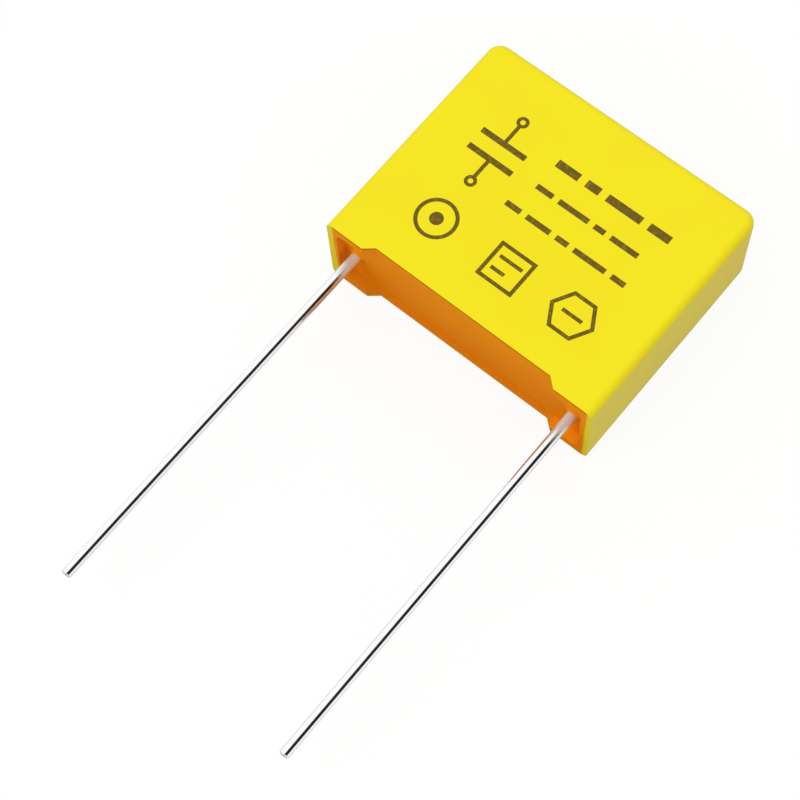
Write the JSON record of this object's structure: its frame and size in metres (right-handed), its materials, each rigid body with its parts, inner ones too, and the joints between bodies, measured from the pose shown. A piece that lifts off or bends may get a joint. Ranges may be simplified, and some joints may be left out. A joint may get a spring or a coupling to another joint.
{
  "type": "box film capacitor",
  "caption": "Radial box film capacitor: a moulded rectangular case filled with resin round a wound film element, with straight wire leads for a circuit board.",
  "frame": {"origin": "on the plane of the case's back face, under the middle of the part's whole box, leads included", "axes": "+X along the lead row from left lead to right lead, -Y the way the leads point, +Z out of the front face"},
  "size_m": [0.018, 0.0378, 0.006],
  "materials": {
    "case_plastic": "smooth satin moulded polyester, lemon yellow",
    "potting_resin": "glossy amber casting resin",
    "metallized_film": "glossy film with a thin metal layer",
    "plain_film": "clear glossy film, several turns",
    "sprayed_zinc": "dull, grainy sprayed metal",
    "print_ink": "thin dark olive-brown ink on the front face",
    "tinned_wire": "bright tin over copper-clad steel wire"
  },
  "bodies": {
    "root": {"case": "case_plastic", "resin_seal": "potting_resin", "film_winding": "metallized_film", "outer_wrap": "plain_film", "end_spray_left": "sprayed_zinc", "end_spray_right": "sprayed_zinc", "lead_left": "tinned_wire", "lead_right": "tinned_wire"}
  },
  "joints": []
}
